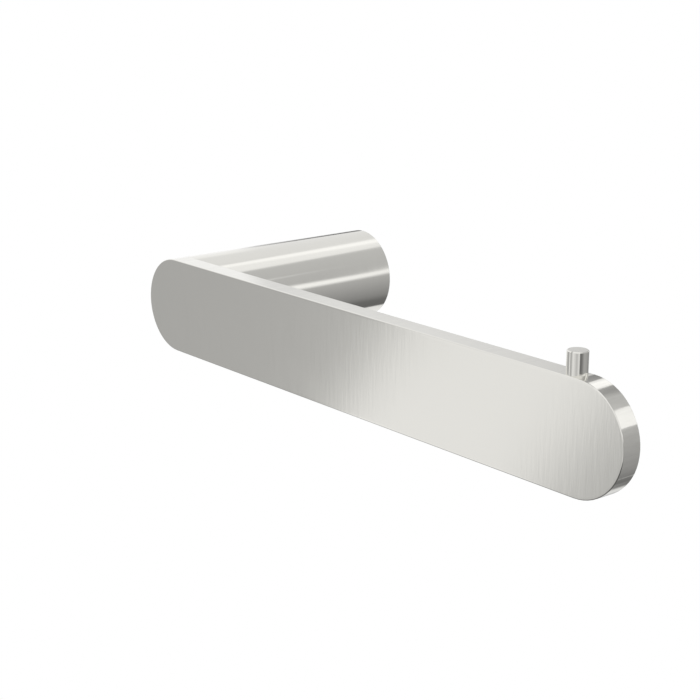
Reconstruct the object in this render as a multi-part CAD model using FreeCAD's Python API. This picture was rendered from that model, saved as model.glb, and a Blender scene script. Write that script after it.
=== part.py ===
import FreeCAD, Part
import math
import os

# Open toilet paper holder: a flat bar with round ends on a round post that stands off the wall.
# Millimetres. The origin is on the post's axis at the wall. +X runs along the bar to its free end,
# -Y runs from the wall into the room and +Z is up.

# Front bar
BAR_HEIGHT = 25.0           # also the post's outer diameter, so the two are flush
BAR_THICKNESS = 5.0
BAR_REACH = 145.0           # from the post's axis to the centre of the free end's half-round
FRONT_EDGE_ROUND = 0.2
BACK_EDGE_ROUND = 0.1

# Post
STAND_OFF = 60.0            # from the wall to the bar's back face
POST_WALL = 2.5
POST_REAR_ROUND = 0.1
BORE_LEAD_IN = 0.5          # chamfer in the post's mouth, which guides it on to the bracket

# Plug in the post's front end
PLUG_THICKNESS = 8.0
PLUG_CLEARANCE = 0.03       # radial, between the plug and the post's bore

# Screws from the plug into the bar (M3)
SCREW_DIAMETER = 3.0
SCREW_HEAD_DIAMETER = 5.5
SCREW_HEAD_HEIGHT = 3.0
SCREW_SOCKET_FLATS = 2.5
SCREW_SOCKET_DEPTH = 1.3
SCREW_DEPTH_IN_BAR = 3.0
SCREW_HOLE_SPARE = 0.5      # how much deeper the bar's hole is than the screw
SCREW_TIP_CHAMFER = 0.4
THREAD_CLEARANCE = 0.05     # radial, around every threaded shank
THROUGH_CLEARANCE = 0.2     # radial, around a shank in a plain hole
WASHER_DIAMETER = 5.8
WASHER_THICKNESS = 1.0
WASHER_CLEARANCE = 0.1      # radial, around the shank
WASHER_SPLIT = 0.5

# Pin on the bar's top edge
PIN_DIAMETER = 4.5
PIN_HEIGHT = 5.0
PIN_TOP_CHAMFER = 0.2
PIN_SHANK_DIAMETER = 3.0
PIN_SHANK_LENGTH = 6.0
PIN_HOLE_SPARE = 0.5
PIN_TO_CURVE = 0.25         # from the pin's side to where the bar's end begins to curve

# Wall bracket inside the post
BRACKET_LENGTH = 12.0
BRACKET_CLEARANCE = 0.1     # radial, between the bracket and the post's bore
BRACKET_FRONT_CHAMFER = 0.6
BRACKET_FLAT_DEPTH = 1.6
WALL_HOLE_DIAMETER = 4.2
WALL_HOLE_SINK_DIAMETER = 7.5

# Set screw in the post's underside (M4)
SET_SCREW_DIAMETER = 4.0
SET_SCREW_SOCKET_FLATS = 2.0
SET_SCREW_SOCKET_DEPTH = 2.0
SET_SCREW_RECESS = 0.2      # below the post's skin
SET_SCREW_TIP_CHAMFER = 0.4
SET_SCREW_TIP_GAP = 0.02    # between its tip and the bracket's flat

POST_RADIUS = BAR_HEIGHT / 2
BORE_RADIUS = POST_RADIUS - POST_WALL
BRACKET_RADIUS = BORE_RADIUS - BRACKET_CLEARANCE
BRACKET_FLAT_Z = -(BRACKET_RADIUS - BRACKET_FLAT_DEPTH)
BAR_BACK_Y = -STAND_OFF
BAR_FRONT_Y = BAR_BACK_Y - BAR_THICKNESS
PLUG_REAR_Y = BAR_BACK_Y + PLUG_THICKNESS
SET_SCREW_Y = -BRACKET_LENGTH / 2
SCREW_OFFSET = BORE_RADIUS / 2      # of each paired screw or hole from the post's axis, along X
PIN_X = BAR_REACH - PIN_TO_CURVE - PIN_DIAMETER / 2

X_AXIS = FreeCAD.Vector(1, 0, 0)
Y_AXIS = FreeCAD.Vector(0, 1, 0)
Z_AXIS = FreeCAD.Vector(0, 0, 1)


def rod_y(radius, start, end, x=0.0):
    """A cylinder along Y from start to end, on the line at x and height zero."""
    return Part.makeCylinder(radius, end - start, FreeCAD.Vector(x, start, 0), Y_AXIS)


def rod_z(radius, start, end, x, y):
    """A cylinder along Z from start to end, through the point x, y."""
    return Part.makeCylinder(radius, end - start, FreeCAD.Vector(x, y, start), Z_AXIS)


def cone_y(start_radius, end_radius, start, end, x=0.0):
    """A cone along Y whose radius runs from start_radius to end_radius."""
    return Part.makeCone(start_radius, end_radius, end - start, FreeCAD.Vector(x, start, 0), Y_AXIS)


def hexagon(flats, depth, centre, axis, across):
    """A six-sided prism of the given width across its flats, from centre along axis."""
    corner = flats / 2 / math.cos(math.pi / 6)
    other = axis.cross(across)
    points = [centre + across * (corner * math.cos(turn)) + other * (corner * math.sin(turn))
              for turn in (math.radians(60 * step) for step in range(7))]
    return Part.Face(Part.makePolygon(points)).extrude(axis * depth)


def circle_edges(shape, radius, level, axis):
    """The circular edges of one radius that lie at one level along an axis."""
    return [edge for edge in shape.Edges
            if isinstance(edge.Curve, Part.Circle)
            and abs(edge.Curve.Radius - radius) < 1e-6
            and abs(edge.Curve.Center.dot(axis) - level) < 1e-6]


def stadium_bar():
    """The bar's plate with sharp edges: straight top and bottom, a half-round at each end."""
    radius = BAR_HEIGHT / 2
    top_left, top_right = FreeCAD.Vector(0, BAR_BACK_Y, radius), FreeCAD.Vector(BAR_REACH, BAR_BACK_Y, radius)
    low_left, low_right = FreeCAD.Vector(0, BAR_BACK_Y, -radius), FreeCAD.Vector(BAR_REACH, BAR_BACK_Y, -radius)
    outline = Part.Wire([
        Part.makeLine(top_left, top_right),
        Part.Arc(top_right, FreeCAD.Vector(BAR_REACH + radius, BAR_BACK_Y, 0), low_right).toShape(),
        Part.makeLine(low_right, low_left),
        Part.Arc(low_left, FreeCAD.Vector(-radius, BAR_BACK_Y, 0), top_left).toShape()])
    return Part.Face(outline).extrude(-Y_AXIS * BAR_THICKNESS)


def outline_edges(plate, level):
    """The plate's edges that lie wholly in the plane y = level."""
    return [edge for edge in plate.Edges
            if abs(edge.BoundBox.YMin - level) < 1e-6 and abs(edge.BoundBox.YMax - level) < 1e-6]


def front_bar():
    """The bar. Its back edge is broken only clear of the post, so that the post joins it flush."""
    plate = stadium_bar()
    front_only = plate.makeFillet(FRONT_EDGE_ROUND, outline_edges(plate, BAR_FRONT_Y))
    both = front_only.makeFillet(BACK_EDGE_ROUND, outline_edges(front_only, BAR_BACK_Y))
    clear_x = math.sqrt(POST_RADIUS ** 2 - (POST_RADIUS - 2 * BACK_EDGE_ROUND) ** 2)
    beyond = Part.makeBox(2 * BAR_REACH, 4 * BAR_THICKNESS, 2 * BAR_HEIGHT,
                          FreeCAD.Vector(clear_x, BAR_FRONT_Y - BAR_THICKNESS, -BAR_HEIGHT))
    bar = front_only.cut(beyond).fuse(both.common(beyond)).removeSplitter()
    for x in (-SCREW_OFFSET, SCREW_OFFSET):
        depth = SCREW_DEPTH_IN_BAR + SCREW_HOLE_SPARE
        bar = bar.cut(rod_y(SCREW_DIAMETER / 2 + THREAD_CLEARANCE, BAR_BACK_Y - depth, BAR_BACK_Y, x))
    top = BAR_HEIGHT / 2
    hole = rod_z(PIN_SHANK_DIAMETER / 2 + THREAD_CLEARANCE, top - PIN_SHANK_LENGTH - PIN_HOLE_SPARE, top,
                 PIN_X, BAR_BACK_Y - BAR_THICKNESS / 2)
    return bar.cut(hole)


def post_tube():
    """The post: a tube with a rounded rear edge, a lead-in and a threaded hole in its underside."""
    outside = rod_y(POST_RADIUS, BAR_BACK_Y, 0)
    outside = outside.makeFillet(POST_REAR_ROUND, circle_edges(outside, POST_RADIUS, 0, Y_AXIS))
    tube = outside.cut(rod_y(BORE_RADIUS, BAR_BACK_Y, 0))
    tube = tube.cut(cone_y(BORE_RADIUS, BORE_RADIUS + BORE_LEAD_IN, -BORE_LEAD_IN, 0))
    return tube.cut(rod_z(SET_SCREW_DIAMETER / 2 + THREAD_CLEARANCE, -BAR_HEIGHT, 0, 0, SET_SCREW_Y))


def post_plug():
    """The disc in the post's front end, with a plain hole for each of the bar's screws."""
    plug = rod_y(BORE_RADIUS - PLUG_CLEARANCE, BAR_BACK_Y, PLUG_REAR_Y)
    for x in (-SCREW_OFFSET, SCREW_OFFSET):
        plug = plug.cut(rod_y(SCREW_DIAMETER / 2 + THROUGH_CLEARANCE, BAR_BACK_Y, PLUG_REAR_Y, x))
    return plug


def bar_screw(x):
    """A socket-head screw from the plug into the bar, with its head inside the post."""
    seat = PLUG_REAR_Y + WASHER_THICKNESS
    head_top = seat + SCREW_HEAD_HEIGHT
    tip = BAR_BACK_Y - SCREW_DEPTH_IN_BAR
    radius = SCREW_DIAMETER / 2
    head = rod_y(SCREW_HEAD_DIAMETER / 2, seat, head_top, x)
    head = head.makeFillet(0.1 * SCREW_HEAD_HEIGHT, circle_edges(head, SCREW_HEAD_DIAMETER / 2, head_top, Y_AXIS))
    shank = rod_y(radius, tip + SCREW_TIP_CHAMFER, seat, x)
    point = cone_y(radius - SCREW_TIP_CHAMFER, radius, tip, tip + SCREW_TIP_CHAMFER, x)
    socket = hexagon(SCREW_SOCKET_FLATS, SCREW_SOCKET_DEPTH, FreeCAD.Vector(x, head_top, 0), -Y_AXIS, Z_AXIS)
    return head.fuse([shank, point]).removeSplitter().cut(socket)


def lock_washer(x):
    """A split spring washer, flattened under the screw's head."""
    rear = PLUG_REAR_Y + WASHER_THICKNESS
    ring = rod_y(WASHER_DIAMETER / 2, PLUG_REAR_Y, rear, x)
    ring = ring.cut(rod_y(SCREW_DIAMETER / 2 + WASHER_CLEARANCE, PLUG_REAR_Y, rear, x))
    split = Part.makeBox(WASHER_SPLIT, 2 * WASHER_THICKNESS, WASHER_DIAMETER,
                         FreeCAD.Vector(x - WASHER_SPLIT / 2, PLUG_REAR_Y - WASHER_THICKNESS / 2, 0))
    split.rotate(FreeCAD.Vector(x, PLUG_REAR_Y + WASHER_THICKNESS / 2, 0), Z_AXIS, 25)
    return ring.cut(split)


def end_pin():
    """The pin that keeps a roll on the bar. Its shank screws down into the bar's top edge."""
    y = BAR_BACK_Y - BAR_THICKNESS / 2
    base = BAR_HEIGHT / 2
    top = base + PIN_HEIGHT
    head = rod_z(PIN_DIAMETER / 2, base, top, PIN_X, y)
    head = head.makeChamfer(PIN_TOP_CHAMFER, circle_edges(head, PIN_DIAMETER / 2, top, Z_AXIS))
    shank = rod_z(PIN_SHANK_DIAMETER / 2, base - PIN_SHANK_LENGTH, base, PIN_X, y)
    return head.fuse(shank).removeSplitter()


def wall_bracket():
    """The bracket: a short round boss with two countersunk holes and a flat along its underside."""
    front = -BRACKET_LENGTH
    boss = rod_y(BRACKET_RADIUS, front, 0)
    boss = boss.makeChamfer(BRACKET_FRONT_CHAMFER, circle_edges(boss, BRACKET_RADIUS, front, Y_AXIS))
    hole_radius = WALL_HOLE_DIAMETER / 2
    sink_radius = WALL_HOLE_SINK_DIAMETER / 2
    for x in (-SCREW_OFFSET, SCREW_OFFSET):
        boss = boss.cut(rod_y(hole_radius, front, 0, x))
        boss = boss.cut(cone_y(sink_radius, hole_radius, front, front + sink_radius - hole_radius, x))
    below_flat = Part.makeBox(BAR_HEIGHT, BRACKET_LENGTH, BAR_HEIGHT,
                              FreeCAD.Vector(-BAR_HEIGHT / 2, front, BRACKET_FLAT_Z - BAR_HEIGHT))
    return boss.cut(below_flat)


def set_screw():
    """The set screw, upright in the post's underside, its flat tip on the bracket's flat."""
    tip = BRACKET_FLAT_Z - SET_SCREW_TIP_GAP
    mouth = -(POST_RADIUS - SET_SCREW_RECESS)
    screw = rod_z(SET_SCREW_DIAMETER / 2, mouth, tip, 0, SET_SCREW_Y)
    screw = screw.makeChamfer(SET_SCREW_TIP_CHAMFER, circle_edges(screw, SET_SCREW_DIAMETER / 2, tip, Z_AXIS))
    socket = hexagon(SET_SCREW_SOCKET_FLATS, SET_SCREW_SOCKET_DEPTH,
                     FreeCAD.Vector(0, SET_SCREW_Y, mouth), Z_AXIS, X_AXIS)
    return screw.cut(socket)


def main():
    """Make every piece and write one file for each."""
    pieces = {
        "front_bar": front_bar(),
        "post_tube": post_tube(),
        "post_plug": post_plug(),
        "end_pin": end_pin(),
        "wall_bracket": wall_bracket(),
        "set_screw": set_screw(),
    }
    for side, x in (("left", -SCREW_OFFSET), ("right", SCREW_OFFSET)):
        pieces["bar_screw_" + side] = bar_screw(x)
        pieces["lock_washer_" + side] = lock_washer(x)
    os.makedirs("parts", exist_ok=True)
    for name, shape in pieces.items():
        shape.exportStep(os.path.join("parts", name + ".step"))
        print(f"{name}: {len(shape.Solids)} solid, valid {shape.isValid()}, {shape.Volume:.1f} mm3")


main()
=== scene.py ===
import logging
import math
from dataclasses import dataclass
from enum import Enum
from typing import Iterable

import bmesh
import bpy
from mathutils import Matrix, Vector


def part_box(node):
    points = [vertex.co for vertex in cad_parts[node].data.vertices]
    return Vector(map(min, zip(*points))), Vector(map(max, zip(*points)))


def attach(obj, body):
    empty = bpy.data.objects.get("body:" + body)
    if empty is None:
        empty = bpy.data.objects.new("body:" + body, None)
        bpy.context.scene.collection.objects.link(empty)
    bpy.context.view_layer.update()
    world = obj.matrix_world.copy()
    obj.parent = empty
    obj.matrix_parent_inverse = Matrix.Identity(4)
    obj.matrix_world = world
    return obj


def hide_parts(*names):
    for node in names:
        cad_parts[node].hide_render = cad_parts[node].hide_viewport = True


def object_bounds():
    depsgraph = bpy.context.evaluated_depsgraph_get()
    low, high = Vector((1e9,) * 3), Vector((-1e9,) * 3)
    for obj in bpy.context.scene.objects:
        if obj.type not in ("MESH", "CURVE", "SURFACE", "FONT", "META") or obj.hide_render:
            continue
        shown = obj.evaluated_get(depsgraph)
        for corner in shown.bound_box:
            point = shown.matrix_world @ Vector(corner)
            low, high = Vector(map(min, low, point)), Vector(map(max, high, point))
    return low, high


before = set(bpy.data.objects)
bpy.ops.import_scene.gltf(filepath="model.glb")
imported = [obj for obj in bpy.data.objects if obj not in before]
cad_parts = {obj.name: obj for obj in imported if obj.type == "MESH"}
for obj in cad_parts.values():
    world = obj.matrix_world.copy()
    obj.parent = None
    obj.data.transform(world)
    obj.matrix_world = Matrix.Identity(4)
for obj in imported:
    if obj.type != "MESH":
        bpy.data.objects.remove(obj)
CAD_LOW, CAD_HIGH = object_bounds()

LOG = logging.getLogger("paper_holder")
MM = 0.001
DEGREES = math.degrees(1)

Colour = tuple[float, float, float]
Edges = list[bmesh.types.BMEdge]
Span = tuple[float, float]
Stops = tuple[tuple[float, float], ...]


class Wire:
    """One value in a shader, which Python's operators turn into Math nodes."""

    def __init__(self, graph: "Graph", socket: bpy.types.NodeSocket) -> None:
        """Keep the graph that new nodes go to and the socket that gives the value."""
        self.graph = graph
        self.socket = socket

    def __add__(self, other: "Wire | float") -> "Wire":
        """Return this value plus another."""
        return self.graph.math("ADD", self, other)

    def __radd__(self, other: float) -> "Wire":
        """Return a number plus this value."""
        return self.graph.math("ADD", other, self)

    def __sub__(self, other: "Wire | float") -> "Wire":
        """Return this value less another."""
        return self.graph.math("SUBTRACT", self, other)

    def __rsub__(self, other: float) -> "Wire":
        """Return a number less this value."""
        return self.graph.math("SUBTRACT", other, self)

    def __mul__(self, other: "Wire | float") -> "Wire":
        """Return this value times another."""
        return self.graph.math("MULTIPLY", self, other)

    def __rmul__(self, other: float) -> "Wire":
        """Return a number times this value."""
        return self.graph.math("MULTIPLY", other, self)

    def __truediv__(self, other: "Wire | float") -> "Wire":
        """Return this value over another."""
        return self.graph.math("DIVIDE", self, other)

    def __abs__(self) -> "Wire":
        """Return this value's size."""
        return self.graph.math("ABSOLUTE", self)


class Graph:
    """A node tree that is written as expressions."""

    def __init__(self, tree: bpy.types.NodeTree) -> None:
        """Empty the tree and keep it."""
        tree.nodes.clear()
        self.tree = tree

    def add(self, kind: str, settings: dict | None = None, inputs: dict | None = None) -> bpy.types.Node:
        """Make one node.

        Args:
            kind: the node's type name.
            settings: its properties, which are set before its sockets.
            inputs: its sockets' values or wires, by name or number.

        Returns:
            The new node.
        """
        node = self.tree.nodes.new(kind)
        for name, value in (settings or {}).items():
            setattr(node, name, value)
        for name, value in (inputs or {}).items():
            if isinstance(value, Wire):
                self.tree.links.new(value.socket, node.inputs[name])
            else:
                node.inputs[name].default_value = value
        return node

    def wire(self, node: bpy.types.Node, output: str | int = 0) -> Wire:
        """Return one of a node's outputs as a wire."""
        return Wire(self, node.outputs[output])

    def math(self, operation: str, *values: "Wire | float", clamp: bool = False) -> Wire:
        """Return a Math node's result for the given values."""
        settings = {"operation": operation, "use_clamp": clamp}
        return self.wire(self.add("ShaderNodeMath", settings, dict(enumerate(values))))

    def remap(self, value: Wire, low: float, high: float, to_low: float = 0.0, to_high: float = 1.0,
              smooth: bool = True) -> Wire:
        """Return a value carried from one range to another, and held at its ends.

        Args:
            value: the number to carry.
            low: the value at the first range's start.
            high: the value at its end.
            to_low: the result at the start.
            to_high: the result at the end.
            smooth: whether it eases in and out.

        Returns:
            The carried number.
        """
        settings = {"interpolation_type": "SMOOTHSTEP" if smooth else "LINEAR"}
        inputs = {"Value": value, "From Min": low, "From Max": high, "To Min": to_low, "To Max": to_high}
        return self.wire(self.add("ShaderNodeMapRange", settings, inputs))

    def mix(self, factor: "Wire | float", first: "Wire | float", second: "Wire | float") -> Wire:
        """Return the number that lies a share of the way from first to second."""
        settings = {"data_type": "FLOAT"}
        return self.wire(self.add("ShaderNodeMix", settings, {0: factor, 2: first, 3: second}))

    def tint(self, factor: Wire, first: "Wire | Colour", second: "Wire | Colour") -> Wire:
        """Return the colour that lies a share of the way from first to second.

        Args:
            factor: the share.
            first: the colour at 0.
            second: the colour at 1.

        Returns:
            The mixed colour.
        """
        ends = {6: first, 7: second}
        inputs = {name: end if isinstance(end, Wire) else (*end, 1.0) for name, end in ends.items()}
        return self.wire(self.add("ShaderNodeMix", {"data_type": "RGBA"}, {0: factor} | inputs), 2)

    def split(self, vector: Wire) -> tuple[Wire, Wire, Wire]:
        """Return a vector's three parts."""
        node = self.add("ShaderNodeSeparateXYZ", inputs={0: vector})
        return self.wire(node, 0), self.wire(node, 1), self.wire(node, 2)

    def join(self, x: "Wire | float", y: "Wire | float", z: "Wire | float") -> Wire:
        """Return the vector with these three parts."""
        return self.wire(self.add("ShaderNodeCombineXYZ", inputs={0: x, 1: y, 2: z}))

    def noise(self, vector: Wire, scale: float = 1.0, detail: float = 2.0, roughness: float = 0.5) -> Wire:
        """Return a noise pattern from 0 to 1 with its middle at one half."""
        inputs = {"Vector": vector, "Scale": scale, "Detail": detail, "Roughness": roughness}
        return self.wire(self.add("ShaderNodeTexNoise", {"noise_dimensions": "3D"}, inputs))

    def ramp(self, value: Wire, low: float, high: float, stops: Stops) -> Wire:
        """Return a level that is read off a row of stops.

        Args:
            value: the number to look up, between low and high.
            low: the number at the row's start.
            high: the number at its end.
            stops: the places, in the value's own units, and the level at each.

        Returns:
            The level.
        """
        node = self.add("ShaderNodeValToRGB", inputs={"Fac": (value - low) / (high - low)})
        elements = node.color_ramp.elements
        while len(elements) < len(stops):
            elements.new(0.5)
        for element, (place, level) in zip(elements, stops):
            element.position = (place - low) / (high - low)
            element.color = (level, level, level, 1)
        return self.wire(node)


@dataclass(frozen=True)
class Edge:
    """A softbox's long edge, as the turn about the post's axis at which three places on the metal show it."""
    at_bar: float
    at_wall: float
    at_tip: float


@dataclass(frozen=True)
class SoftBox:
    """A long soft light, or a flag if its level is low, lying along the post between two edges."""
    start: Edge
    end: Edge
    level: float
    blur_on_post: float = 3.0
    blur_on_tip: float = 2.0


@dataclass(frozen=True)
class Panel:
    """The bright panel in front of the bar. Its sides slant, and its lower left corner is brighter."""
    level: float = 1.04
    left: Span = (-41.0, -38.7)
    left_slant: float = 0.65
    right: Span = (-29.4, -25.5)
    right_slant: float = 0.78
    corner_side: Span = (-36.5, -39.0)
    corner_up: Span = (-15.0, -18.5)
    corner_gain: float = 0.09

    def lay_over(self, g: Graph, room: Wire, across: Wire, up: Wire) -> Wire:
        """Return the room's brightness with the panel laid over it.

        Args:
            g: the shader's graph.
            room: the brightness without the panel.
            across: the compass angle.
            up: the height.

        Returns:
            The brightness.
        """
        slanted = across - up * self.left_slant
        before_right = g.remap(across - up * self.right_slant, *self.right, 1.0, 0.0)
        corner = g.remap(slanted, *self.corner_side) * g.remap(up, *self.corner_up)
        level = self.level + corner * self.corner_gain
        return g.mix(g.remap(slanted, *self.left) * before_right, room, level)


@dataclass(frozen=True)
class Studio:
    """The white room: what the metal reflects, the floor and the camera.

    Turn is the angle about the post's axis, from the bar's free end up. Lean is the angle behind the bar.
    Across is the compass angle in front of the bar, to the right, and up is the height. All are in degrees.
    A row of stops gives the brightness at each such angle, and a span fades something in from first to last.
    """
    lean_at_bar: float = 34.0
    lean_at_wall: float = 39.0
    lean_at_tip: float = 46.5
    behind_post: Stops = (
        (-180, 0.6), (-160, 0.6), (-130, 1.0), (-96, 1.0), (-92, 0.15), (-70, 0.18), (-55, 0.3),
        (0, 0.55), (70, 0.65), (110, 0.95), (160, 0.95), (175, 0.6), (180, 0.6))
    behind_tip: Stops = (
        (-180, 0.8), (-155, 0.45), (-135, 0.5), (-125, 0.8), (-115, 0.8), (-105, 0.15), (-90, 0.2),
        (-60, 0.35), (0, 0.5), (60, 0.65), (85, 0.6), (95, 0.4), (135, 0.4), (152, 0.25), (157, 0.75),
        (180, 0.8))
    boxes: tuple[SoftBox, ...] = (
        SoftBox(Edge(-2, -2, 20), Edge(17, 15, 59), 1.2, blur_on_post=6.0),
        SoftBox(Edge(69, 76, 109), Edge(103, 111, 137), 1.1, blur_on_post=4.0),
        SoftBox(Edge(89, 90, 112), Edge(103, 109, 132), 1.3, blur_on_post=7.0, blur_on_tip=4.0),
        SoftBox(Edge(35, 42, 42), Edge(41, 42, 42), 0.95),
        SoftBox(Edge(172, 162, 162), Edge(172, 184, 184), 0.2, blur_on_post=4.0),
        SoftBox(Edge(-82, -82, -82), Edge(-82, -82, -79), 0.5, blur_on_tip=1.0),
    )
    over_bar_level: float = 1.08
    over_bar_lean: Span = (35.2, 34.0)
    over_bar_turn: Span = (140, 150)
    in_front: Stops = (
        (-180, 0.6), (-100, 0.75), (-75, 0.5), (-60, 0.5), (-50, 0.55), (-35, 0.6), (-30, 0.5), (-20, 0.6),
        (-5, 1.0), (20, 0.8), (30, 0.65), (38, 0.65), (55, 0.9), (62, 0.9), (67, 0.2), (100, 0.2),
        (130, 0.45), (180, 0.6))
    panel: Panel = Panel()
    front_to_back: Span = (-12, 30)
    ceiling_level: float = 1.12
    ceiling_up: Span = (-8, 18)
    ground_level: float = 0.06
    ground_up: Span = (-24, -36)
    ground_across: Span = (-150, -120)
    flag_level: float = 0.15
    flag_near_edge: Span = (49, 53)
    flag_far_edge: Span = (82, 76)
    flag_lean: Span = (27, 22)
    upper_flag_across: Span = (-40, -55)
    upper_flag_strength: float = 0.7
    lower_flag_up: Span = (0, -1)
    floor_half: float = 40.0
    floor_drop: float = 0.9
    lens: float = 80.07
    sensor: float = 36.0
    camera_reach: float = 200.0
    camera_place: tuple[float, float, float] = (0.3444, -0.2850, 0.0987)
    camera_turn: float = 50.855
    camera_drop: float = 15.303

    def light(self) -> None:
        """Make the world: white to the camera, and softboxes and flags in the metal."""
        world = bpy.data.worlds.new("studio")
        bpy.context.scene.world = world
        world.use_nodes = True
        g = Graph(world.node_tree)
        x, y, z = g.split(g.wire(g.add("ShaderNodeTexCoord"), "Generated"))
        lean = g.math("ARCSINE", y) * DEGREES
        turn = g.math("ARCTAN2", z, x) * DEGREES
        across = g.math("ARCTAN2", x, y * -1.0) * DEGREES
        up = g.math("ARCSINE", z) * DEGREES
        front, back = self.front_room(g, across, up), self.back_room(g, turn, lean)
        seen = g.mix(g.remap(lean, *self.front_to_back), front, back)
        seen = g.mix(self.flags(g, across, up, lean), seen, self.flag_level)
        camera = g.wire(g.add("ShaderNodeLightPath"), "Is Camera Ray")
        strength = g.mix(camera, seen, 1.0)
        shade = g.add("ShaderNodeBackground", inputs={"Color": (1, 1, 1, 1), "Strength": strength})
        g.add("ShaderNodeOutputWorld", inputs={"Surface": g.wire(shade)})

    def flags(self, g: Graph, across: Wire, up: Wire, lean: Wire) -> Wire:
        """Return 1 on the dark flags: one high on the left, and one all round below.

        Args:
            g: the shader's graph.
            across: the compass angle.
            up: the height.
            lean: the angle behind the bar.

        Returns:
            1 on a flag and 0 off it.
        """
        steep = g.remap(abs(up), *self.flag_near_edge) * g.remap(abs(up), *self.flag_far_edge)
        upper = g.remap(across, *self.upper_flag_across, 0.0, self.upper_flag_strength)
        lower = g.remap(up, *self.lower_flag_up)
        return steep * g.remap(lean, *self.flag_lean) * g.math("MAXIMUM", upper, lower)

    def back_room(self, g: Graph, turn: Wire, lean: Wire) -> Wire:
        """Return the brightness behind the bar: two graded walls that meet, and the softboxes.

        Args:
            g: the shader's graph.
            turn: the angle about the post's axis.
            lean: the angle behind the bar.

        Returns:
            The brightness.
        """
        along_post = g.remap(lean, self.lean_at_bar, self.lean_at_wall, smooth=False)
        toward_tip = g.remap(lean, self.lean_at_wall, self.lean_at_tip, smooth=False)
        by_post, by_tip = (g.ramp(turn, -180, 180, wall) for wall in (self.behind_post, self.behind_tip))
        level = g.mix(toward_tip, by_post, by_tip)
        over_bar = g.remap(lean, *self.over_bar_lean) * g.remap(abs(turn), *self.over_bar_turn)
        level = g.mix(over_bar, level, self.over_bar_level)
        for box in self.boxes:
            start, end = (g.mix(toward_tip, g.mix(along_post, edge.at_bar, edge.at_wall), edge.at_tip)
                          for edge in (box.start, box.end))
            blur = g.mix(toward_tip, box.blur_on_post, box.blur_on_tip)
            past_start = g.math("DIVIDE", turn - start, blur, clamp=True)
            before_end = g.math("DIVIDE", end - turn, blur, clamp=True)
            level = g.mix(past_start * before_end, level, box.level)
        return level

    def front_room(self, g: Graph, across: Wire, up: Wire) -> Wire:
        """Return the brightness in front of the bar: a bright panel, a ceiling and a dark ground.

        Args:
            g: the shader's graph.
            across: the compass angle.
            up: the height.

        Returns:
            The brightness.
        """
        walls = self.panel.lay_over(g, g.ramp(across, -180, 180, self.in_front), across, up)
        ground = g.remap(up, *self.ground_up) * g.remap(across, *self.ground_across)
        level = g.mix(ground, walls, self.ground_level)
        return g.mix(g.remap(up, *self.ceiling_up), level, self.ceiling_level)

    def floor(self) -> None:
        """Lay the pale floor, which only the camera sees."""
        mesh = bpy.data.meshes.new("floor")
        bm = bmesh.new()
        bmesh.ops.create_grid(bm, x_segments=1, y_segments=1, size=self.floor_half)
        bmesh.ops.translate(bm, verts=bm.verts, vec=(0, 0, CAD_LOW.z - self.floor_drop))
        bm.to_mesh(mesh)
        bm.free()
        obj = bpy.data.objects.new("floor", mesh)
        bpy.context.scene.collection.objects.link(obj)
        material = bpy.data.materials.new("floor_white")
        material.use_nodes = True
        g = Graph(material.node_tree)
        glow = g.wire(g.add("ShaderNodeEmission", inputs={"Color": (1, 1, 1, 1), "Strength": 1.0}))
        g.add("ShaderNodeOutputMaterial", inputs={"Surface": glow})
        mesh.materials.append(material)
        obj.visible_glossy = obj.visible_diffuse = obj.visible_shadow = False

    def camera(self) -> None:
        """Place the camera to the right of the object and a little above it."""
        data = bpy.data.cameras.new("camera")
        data.lens = self.lens
        data.sensor_width = self.sensor
        data.clip_end = self.camera_reach
        obj = bpy.data.objects.new("camera", data)
        obj.location = self.camera_place
        azimuth, elevation = math.radians(self.camera_turn), math.radians(self.camera_drop)
        obj.rotation_euler = (math.pi / 2 - elevation, 0.0, azimuth)
        bpy.context.scene.collection.objects.link(obj)
        bpy.context.scene.camera = obj


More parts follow.
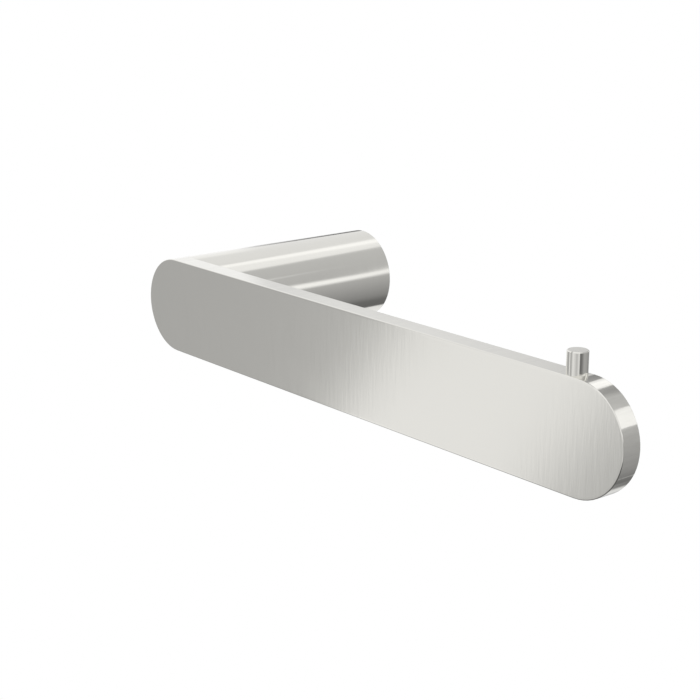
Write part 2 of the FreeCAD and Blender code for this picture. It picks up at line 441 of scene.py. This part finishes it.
@dataclass(frozen=True)
class Metal:
    """A bare metal that a tool has left fine lines on, with cloudy patches where its pressure changed.

    Each finish says which way its lines run. The shares and spreads say how much the lines and patches count.
    """
    name: str
    light: Colour
    dark: Colour
    roughness: float
    line: float
    line_length: float
    line_depth: float
    broad_line: float = 4.5
    broad_share: float = 0.4
    tone_contrast: float = 1.0
    tone_spread: float = 0.2
    roughness_spread: float = 0.06
    patch: float = 14 * MM
    patch_share: float = 0.25
    patch_spread: float = 0.03
    polish_gain: float = 0.04

    def across(self, g: Graph, x: Wire, y: Wire, z: Wire) -> Wire:
        """Return the distance that grows across the lines."""
        raise NotImplementedError

    def lines(self, g: Graph, place: Wire) -> Wire:
        """Return the lines, from 0 to 1, as fine ones laid over broader ones.

        Args:
            g: the shader's graph.
            place: the place on the piece.

        Returns:
            The height of the lines.
        """
        x, y, z = g.split(place)
        across = self.across(g, x, y, z)
        slow = 1 / self.line_length
        fine = g.noise(g.join(across / self.line, (x + y) * slow, (z - y) * slow), detail=3.0, roughness=0.6)
        wide = self.line * self.broad_line
        broad = g.noise(g.join(across / wide, (x + y) * slow * 0.5, (z - y) * slow * 0.5), detail=2.0)
        return fine * (1 - self.broad_share) + broad * self.broad_share

    def contrast(self, g: Graph, place: Wire) -> "Wire | float":
        """Return how strongly the lines show in the metal's tone."""
        return self.tone_contrast

    def bite(self, g: Graph, place: Wire) -> "Wire | float":
        """Return how deep the tool has bitten, as a share of the line depth."""
        return 1.0

    def polish(self, g: Graph, place: Wire) -> "Wire | float":
        """Return how far handling has polished the metal, from 0 to 1."""
        return 0.0

    def material(self) -> bpy.types.Material:
        """Return the finish as a material.

        Returns:
            A new material.
        """
        material = bpy.data.materials.new(self.name)
        material.use_nodes = True
        g = Graph(material.node_tree)
        place = g.wire(g.add("ShaderNodeTexCoord"), "Object")
        lines = self.lines(g, place)
        patches = g.noise(place, scale=1 / self.patch, detail=3.0)
        marks = lines * (1 - self.patch_share) + patches * self.patch_share
        mottle = (marks - 0.5) * self.contrast(g, place)
        tone = g.remap(mottle, -self.tone_spread, self.tone_spread, smooth=False)
        colour = g.tint(tone, self.dark, self.light)
        rough = (lines - 0.5) * self.roughness_spread + (patches - 0.5) * self.patch_spread + self.roughness
        rough = rough - self.polish(g, place) * self.polish_gain
        bump = g.add("ShaderNodeBump", inputs={
            "Strength": 1.0, "Distance": self.line_depth, "Height": lines * self.bite(g, place)})
        shader = g.add("ShaderNodeBsdfPrincipled", inputs={
            "Base Color": colour, "Metallic": 1.0, "Roughness": rough, "Normal": g.wire(bump)})
        g.add("ShaderNodeOutputMaterial", inputs={"Surface": g.wire(shader)})
        return material


@dataclass(frozen=True)
class CrossBrushed(Metal):
    """Brushed straight across a flat bar, and round it over its edges."""
    reach: float = 145 * MM
    radius: float = 12.5 * MM
    front: float = -65 * MM
    back: float = -60 * MM
    face_margin: Span = (0.25 * MM, 0.15 * MM)
    rim: Span = (0.9 * MM, 0.1 * MM)
    edge_contrast: float = 1.6
    bite_reach: Span = (0.3, 0.7)
    bite_depth: Span = (0.4, 1.2)

    def on_face(self, g: Graph, y: Wire) -> Wire:
        """Return 1 on the bar's flat faces and 0 on its edges."""
        middle, half = (self.front + self.back) / 2, (self.back - self.front) / 2
        return g.remap(abs(y - middle), *(half - margin for margin in self.face_margin))

    def contrast(self, g: Graph, place: Wire) -> Wire:
        """Return how strongly the lines show, which is more on the edges."""
        _, y, _ = g.split(place)
        return g.mix(self.on_face(g, y), self.edge_contrast, self.tone_contrast)

    def bite(self, g: Graph, place: Wire) -> Wire:
        """Return how deep the brush has bitten, which is deeper towards the free end."""
        x, _, _ = g.split(place)
        return g.remap(x, *(share * self.reach for share in self.bite_reach), *self.bite_depth)

    def past_ends(self, g: Graph, x: Wire) -> Wire:
        """Return how far a place lies past the straight part of the bar, below 0 at the post's end."""
        return x - g.math("MAXIMUM", 0.0, g.math("MINIMUM", x, self.reach))

    def across(self, g: Graph, x: Wire, y: Wire, z: Wire) -> Wire:
        """Return the place along the bar, and on its edges the distance round them.

        Args:
            g: the shader's graph.
            x: the place along the bar.
            y: the depth behind its front.
            z: the height.

        Returns:
            A distance in metres.
        """
        past = self.past_ends(g, x)
        round_edge = x - past + g.math("ARCTAN2", past, z) * self.radius
        return g.mix(self.on_face(g, y), round_edge, x)

    def polish(self, g: Graph, place: Wire) -> Wire:
        """Return the polish along the bar's outline, where its edges are broken.

        Args:
            g: the shader's graph.
            place: the place on the piece.

        Returns:
            The polish, from 0 to 1.
        """
        x, _, z = g.split(place)
        past = self.past_ends(g, x)
        from_spine = g.math("SQRT", past * past + z * z)
        return g.remap(from_spine, *(self.radius - margin for margin in self.rim))


class Axis(Enum):
    """The line that a turned piece was turned about."""
    Y = "y"
    Z = "z"


@dataclass(frozen=True)
class Turned(Metal):
    """Turned on a lathe: rings on the faces, and hoops round the sides."""
    axis: Axis = Axis.Y
    centre: tuple[float, float] = (0.0, 0.0)

    def across(self, g: Graph, x: Wire, y: Wire, z: Wire) -> Wire:
        """Return the distance from the axis plus the distance along it.

        Args:
            g: the shader's graph.
            x: the place along X.
            y: the place along Y.
            z: the place along Z.

        Returns:
            A distance in metres.
        """
        side, height = (z, y) if self.axis is Axis.Y else (y, z)
        first, second = x - self.centre[0], side - self.centre[1]
        return g.math("SQRT", first * first + second * second) + height


@dataclass(frozen=True)
class Plated(Turned):
    """Turned, then plated with zinc, whose crystals show as pale and dull flakes."""
    flake: float = 1.1 * MM
    flake_share: float = 0.4

    def lines(self, g: Graph, place: Wire) -> Wire:
        """Return the tool's lines with the flakes of the plating over them.

        Args:
            g: the shader's graph.
            place: the place on the piece.

        Returns:
            The height of the lines and flakes.
        """
        flakes = g.add("ShaderNodeTexVoronoi", inputs={"Vector": place, "Scale": 1 / self.flake})
        red, _, _ = g.split(g.wire(flakes, "Color"))
        return super().lines(g, place) * (1 - self.flake_share) + red * self.flake_share


SATIN_LIGHT, SATIN_DARK = (0.764, 0.754, 0.716), (0.71, 0.7, 0.665)
SHARP = math.radians(32)


def screw_steel(name: str, centre: tuple[float, float], axis: Axis = Axis.Y) -> Turned:
    """Return the finish of a screw that was turned about an axis through the given centre."""
    return Turned(name, (0.58, 0.57, 0.55), (0.44, 0.44, 0.43), roughness=0.22, line=0.08 * MM,
                  line_length=2 * MM, line_depth=0.001 * MM, axis=axis, centre=centre)


def dress(name: str, finish: Metal) -> None:
    """Give a CAD node a finish."""
    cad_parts[name].data.materials[0] = finish.material()
    LOG.info("%s: %s", name, finish.name)


def add_piece(bm: bmesh.types.BMesh, node: str, body: str, finish: Metal) -> None:
    """Turn a mesh into the piece that stands for a CAD node.

    Args:
        bm: the mesh, in place. It is freed.
        node: the CAD node, whose name the piece takes.
        body: the body that the piece rides on.
        finish: the piece's finish.
    """
    mesh = bpy.data.meshes.new(node + "_detail")
    bmesh.ops.recalc_face_normals(bm, faces=bm.faces)
    for face in bm.faces:
        face.smooth = True
    bm.to_mesh(mesh)
    bm.free()
    mesh.set_sharp_from_angle(angle=SHARP)
    mesh.materials.append(finish.material())
    obj = bpy.data.objects.new(node + "_detail", mesh)
    bpy.context.scene.collection.objects.link(obj)
    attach(obj, body)
    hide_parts(node)
    LOG.info("%s: %d faces, %s", obj.name, len(mesh.polygons), finish.name)


HEXAGON_SIDES = 6
KNURL_RIDGES = 24
KNURL_DEPTH = 0.035


class Outline(Enum):
    """The shape of a ring seen along its axis."""
    ROUND = "round"
    HEXAGON = "hexagon"
    KNURL = "knurl"

    def reach(self, radius: float, turn: float) -> float:
        """Return how far from the axis the ring lies, at a turn in radians.

        Args:
            radius: the ring's radius.
            turn: the direction, in radians.

        Returns:
            The distance from the axis.
        """
        if self is Outline.HEXAGON:
            return radius / math.cos(math.tau / HEXAGON_SIDES * (turn / math.tau * HEXAGON_SIDES % 1.0 - 0.5))
        if self is Outline.KNURL:
            valley = abs(turn / math.tau * KNURL_RIDGES % 1.0 * 2 - 1)
            return radius * (1 - KNURL_DEPTH * valley)
        return radius


@dataclass(frozen=True)
class Ring:
    """One ring of a turned piece. A hexagon's radius is half the width across its flats."""
    radius: float
    height: float
    outline: Outline = Outline.ROUND


def grow(bm: bmesh.types.BMesh, edges: Edges, rings: Iterable[Ring]) -> Edges:
    """Extrude an open loop about the Z axis through one ring after another.

    Args:
        bm: the mesh that holds the loop.
        edges: the loop's edges.
        rings: where each new loop goes.

    Returns:
        The last loop's edges.
    """
    for ring in rings:
        made = bmesh.ops.extrude_edge_only(bm, edges=edges)["geom"]
        verts = {item for item in made if isinstance(item, bmesh.types.BMVert)}
        for vert in verts:
            turn = math.atan2(vert.co.y, vert.co.x)
            reach = ring.outline.reach(ring.radius, turn)
            vert.co = (reach * math.cos(turn), reach * math.sin(turn), ring.height)
        new_edges = (item for item in made if isinstance(item, bmesh.types.BMEdge))
        edges = [edge for edge in new_edges if verts.issuperset(edge.verts)]
    return edges


@dataclass(frozen=True)
class HexSocket:
    """A hexagon socket with a countersunk mouth and a drill point. Its width is across the flats."""
    width: float
    depth: float
    mouth: float
    lip: float
    lip_depth: float
    lead_in: float
    point: float
    point_share: float = 0.7
    point_tip: float = 0.1 * MM

    def rings(self, top: float) -> tuple[Ring, ...]:
        """Return the rings of the socket's walls.

        Args:
            top: the height of the face that it is cut in.

        Returns:
            The rings, from the mouth to the middle of the bottom.
        """
        half, bottom = self.width / 2, top - self.depth
        return (Ring(half + self.mouth, top), Ring(half + self.lip, top - self.lip_depth, Outline.HEXAGON),
                Ring(half, top - self.lead_in, Outline.HEXAGON), Ring(half, bottom, Outline.HEXAGON),
                Ring(self.point_share * half, bottom), Ring(self.point_tip, bottom - self.point))


@dataclass(frozen=True)
class Thread:
    """A metric outside thread about the Z axis. Root flat and crest are places along it, in pitches."""
    radius: float
    pitch: float
    depth_per_pitch: float = 0.6134
    root_flat: float = 0.25
    crest: Span = (0.5625, 0.6875)
    tip_chamfer: float = 0.4 * MM
    steps: int = 48
    same_point: float = 0.002 * MM
    on_plane: float = 0.0005 * MM

    def cut(self, bm: bmesh.types.BMesh, length: float) -> Edges:
        """Make the thread, from its closed tip at height 0 up.

        Args:
            bm: the empty mesh that it goes in.
            length: its height.

        Returns:
            The open loop at its upper end.
        """
        root = self.radius - self.depth_per_pitch * self.pitch
        crest = ((self.radius, share) for share in self.crest)
        outline = ((root, 0.0), (root, self.root_flat), *crest, (root, 1.0))
        turns = math.ceil(length / self.pitch) + 2
        verts = [bm.verts.new((reach, 0.0, (share - 1) * self.pitch)) for reach, share in outline]
        profile = verts + [bm.edges.new(pair) for pair in zip(verts, verts[1:])]
        bmesh.ops.spin(bm, geom=profile, cent=(0, 0, 0), axis=(0, 0, 1), dvec=(0, 0, self.pitch / self.steps),
                       angle=math.tau * turns, steps=self.steps * turns, use_merge=False, use_duplicate=False)
        bmesh.ops.remove_doubles(bm, verts=bm.verts, dist=self.same_point)
        for height, side in ((0.0, -1), (length, 1)):
            everything = list(bm.verts) + list(bm.edges) + list(bm.faces)
            bmesh.ops.bisect_plane(bm, geom=everything, plane_co=(0, 0, height), plane_no=(0, 0, side),
                                   clear_outer=True, dist=self.on_plane)
        self.point(bm)
        ends = [edge for edge in bm.edges if edge.is_boundary]
        low = [edge for edge in ends if edge.verts[0].co.z < length / 2]
        bmesh.ops.holes_fill(bm, edges=low, sides=0)
        return [edge for edge in ends if edge.verts[0].co.z > length / 2]

    def point(self, bm: bmesh.types.BMesh) -> None:
        """Turn the tip's chamfer.

        Args:
            bm: the thread's mesh.
        """
        for vert in bm.verts:
            limit = self.radius - self.tip_chamfer + vert.co.z
            reach = math.hypot(vert.co.x, vert.co.y)
            if reach > limit:
                vert.co.x *= limit / reach
                vert.co.y *= limit / reach


@dataclass(frozen=True)
class Bar:
    """The front bar and the pin on its top edge."""
    bar_node: str = "front_bar"
    pin_node: str = "end_pin"

    def dress(self) -> None:
        """Give the bar and the pin their finishes."""
        low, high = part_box(self.bar_node)
        radius = (high.z - low.z) / 2
        dress(self.bar_node, CrossBrushed(
            "cross_brushed_steel", SATIN_LIGHT, SATIN_DARK, roughness=0.11, line=0.2 * MM, line_length=4 * MM,
            line_depth=0.0055 * MM, broad_share=0.65, tone_contrast=0.25, reach=high.x - radius,
            radius=radius, front=low.y, back=high.y))
        low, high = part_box(self.pin_node)
        centre = ((low.x + high.x) / 2, (low.y + high.y) / 2)
        dress(self.pin_node, Turned(
            "turned_pin_steel", SATIN_LIGHT, SATIN_DARK, roughness=0.08, line=0.05 * MM, line_length=3 * MM,
            line_depth=0.0001 * MM, tone_contrast=0.5, axis=Axis.Z, centre=centre))


@dataclass(frozen=True)
class Post:
    """The post, its plug, and the screws and washers that hold the bar."""
    body: str = "holder"
    screw_radius: float = 1.5 * MM
    screw_pitch: float = 0.5 * MM
    thread_runout: float = 0.4 * MM
    neck_top: float = 0.3 * MM
    neck_step: float = 0.15 * MM
    neck_fillet: float = 0.08 * MM
    head_height: float = 3.0 * MM
    head_chamfer: float = 0.15 * MM
    top_chamfer: float = 0.3 * MM
    knurl_step: float = 0.03 * MM
    knurl_ends: Span = (0.25 * MM, 0.55 * MM)
    plain_ends: Span = (0.1 * MM, 0.35 * MM)
    socket: HexSocket = HexSocket(2.5 * MM, 1.3 * MM, mouth=0.32 * MM, lip=0.06 * MM, lip_depth=0.12 * MM,
                                  lead_in=0.2 * MM, point=0.25 * MM)
    washer_gap: float = math.radians(11)
    washer_clearance: float = 0.1 * MM
    washer_edge: float = 0.08 * MM
    washer_steps: int = 64
    square: float = math.radians(60)

    def build(self) -> None:
        """Dress the post and the plug, and make the screws and washers."""
        dress("post_tube", Turned(
            "round_brushed_steel", SATIN_LIGHT, SATIN_DARK, roughness=0.1, line=0.14 * MM,
            line_length=11 * MM, line_depth=0.0005 * MM, tone_contrast=0.5))
        dress("post_plug", Turned(
            "turned_plug_steel", (0.62, 0.62, 0.61), (0.5, 0.5, 0.49), roughness=0.24, line=0.22 * MM,
            line_length=8 * MM, line_depth=0.004 * MM))
        for side in ("left", "right"):
            self.screw("bar_screw_" + side)
            self.washer("lock_washer_" + side)

    def screw(self, node: str) -> None:
        """Make one socket-head screw, with its thread and its knurled head.

        Args:
            node: the CAD node that it stands for.
        """
        low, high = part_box(node)
        head = (high.x - low.x) / 2
        top = high.y - low.y
        seat = top - self.head_height
        bm = bmesh.new()
        loop = Thread(self.screw_radius, self.screw_pitch).cut(bm, seat - self.thread_runout)
        neck, plain = self.screw_radius - self.neck_step, head - self.knurl_step
        loop = grow(bm, loop, (
            Ring(neck, seat - self.neck_top), Ring(neck, seat - self.neck_fillet),
            Ring(neck + self.neck_fillet, seat), Ring(head - self.head_chamfer, seat),
            Ring(plain, seat + self.plain_ends[0]), Ring(head, seat + self.knurl_ends[0], Outline.KNURL),
            Ring(head, top - self.knurl_ends[1], Outline.KNURL), Ring(plain, top - self.plain_ends[1]),
            Ring(head - self.top_chamfer, top), *self.socket.rings(top)))
        bmesh.ops.contextual_create(bm, geom=loop)
        centre_x = (low.x + high.x) / 2
        place = Matrix.Translation((centre_x, low.y, 0)) @ Matrix.Rotation(-math.pi / 2, 4, "X")
        bmesh.ops.transform(bm, matrix=place, verts=bm.verts)
        add_piece(bm, node, self.body, screw_steel(node + "_steel", (centre_x, 0.0)))

    def washer(self, node: str) -> None:
        """Make one split spring washer, with its edges broken.

        Args:
            node: the CAD node that it stands for.
        """
        low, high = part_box(node)
        outer = (high.x - low.x) / 2
        inner = self.screw_radius + self.washer_clearance
        bm = bmesh.new()
        corners = [bm.verts.new((reach, 0, height)) for reach, height in
                   ((inner, low.y), (outer, low.y), (outer, high.y), (inner, high.y))]
        section = bm.faces.new(corners)
        bmesh.ops.spin(bm, geom=[section], cent=(0, 0, 0), axis=(0, 0, 1), dvec=(0, 0, 0), use_merge=False,
                       use_duplicate=False, angle=math.tau - self.washer_gap, steps=self.washer_steps)
        bmesh.ops.recalc_face_normals(bm, faces=bm.faces)
        edges = [edge for edge in bm.edges if edge.is_manifold and edge.calc_face_angle() > self.square]
        bmesh.ops.bevel(bm, geom=edges, offset=self.washer_edge, affect="EDGES", segments=2, profile=0.5,
                        material=-1)
        centre_x = (low.x + high.x) / 2
        turned = Matrix.Rotation(math.pi / 2 + self.washer_gap / 2, 4, "Z")
        place = Matrix.Translation((centre_x, 0, 0)) @ Matrix.Rotation(-math.pi / 2, 4, "X") @ turned
        bmesh.ops.transform(bm, matrix=place, verts=bm.verts)
        add_piece(bm, node, self.body, Turned(
            node + "_steel", (0.36, 0.36, 0.37), (0.24, 0.24, 0.26), roughness=0.3, line=0.1 * MM,
            line_length=1.5 * MM, line_depth=0.002 * MM, centre=(centre_x, 0.0)))


@dataclass(frozen=True)
class WallFixing:
    """The bracket on the wall, and the set screw that clamps the post on it."""
    screw_node: str = "set_screw"
    screw_body: str = "clamp_screw"
    screw_pitch: float = 0.7 * MM
    thread_runout: float = 0.25 * MM
    end_chamfer: float = 0.5 * MM
    socket: HexSocket = HexSocket(2.0 * MM, 2.0 * MM, mouth=0.3 * MM, lip=0.05 * MM, lip_depth=0.1 * MM,
                                  lead_in=0.18 * MM, point=0.2 * MM)

    def build(self) -> None:
        """Dress the bracket and make the set screw."""
        dress("wall_bracket", Plated(
            "zinc_plate", (0.62, 0.63, 0.64), (0.44, 0.455, 0.475), roughness=0.34, line=0.25 * MM,
            line_length=6 * MM, line_depth=0.006 * MM, roughness_spread=0.16))
        low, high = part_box(self.screw_node)
        radius, length = (high.x - low.x) / 2, high.z - low.z
        bm = bmesh.new()
        loop = Thread(radius, self.screw_pitch).cut(bm, length - self.thread_runout)
        loop = grow(bm, loop, (Ring(radius - self.end_chamfer, length), *self.socket.rings(length)))
        bmesh.ops.contextual_create(bm, geom=loop)
        centre = ((low.x + high.x) / 2, (low.y + high.y) / 2)
        place = Matrix.Translation((*centre, high.z)) @ Matrix.Rotation(math.pi, 4, "X")
        bmesh.ops.transform(bm, matrix=place, verts=bm.verts)
        finish = screw_steel("set_screw_steel", centre, Axis.Z)
        add_piece(bm, self.screw_node, self.screw_body, finish)


def main() -> None:
    """Build the scene."""
    logging.basicConfig(level=logging.INFO)
    bpy.context.scene.view_settings.view_transform = "Standard"
    studio = Studio()
    studio.light()
    studio.floor()
    studio.camera()
    Bar().dress()
    Post().build()
    WallFixing().build()


if __name__ == "__main__":
    main()
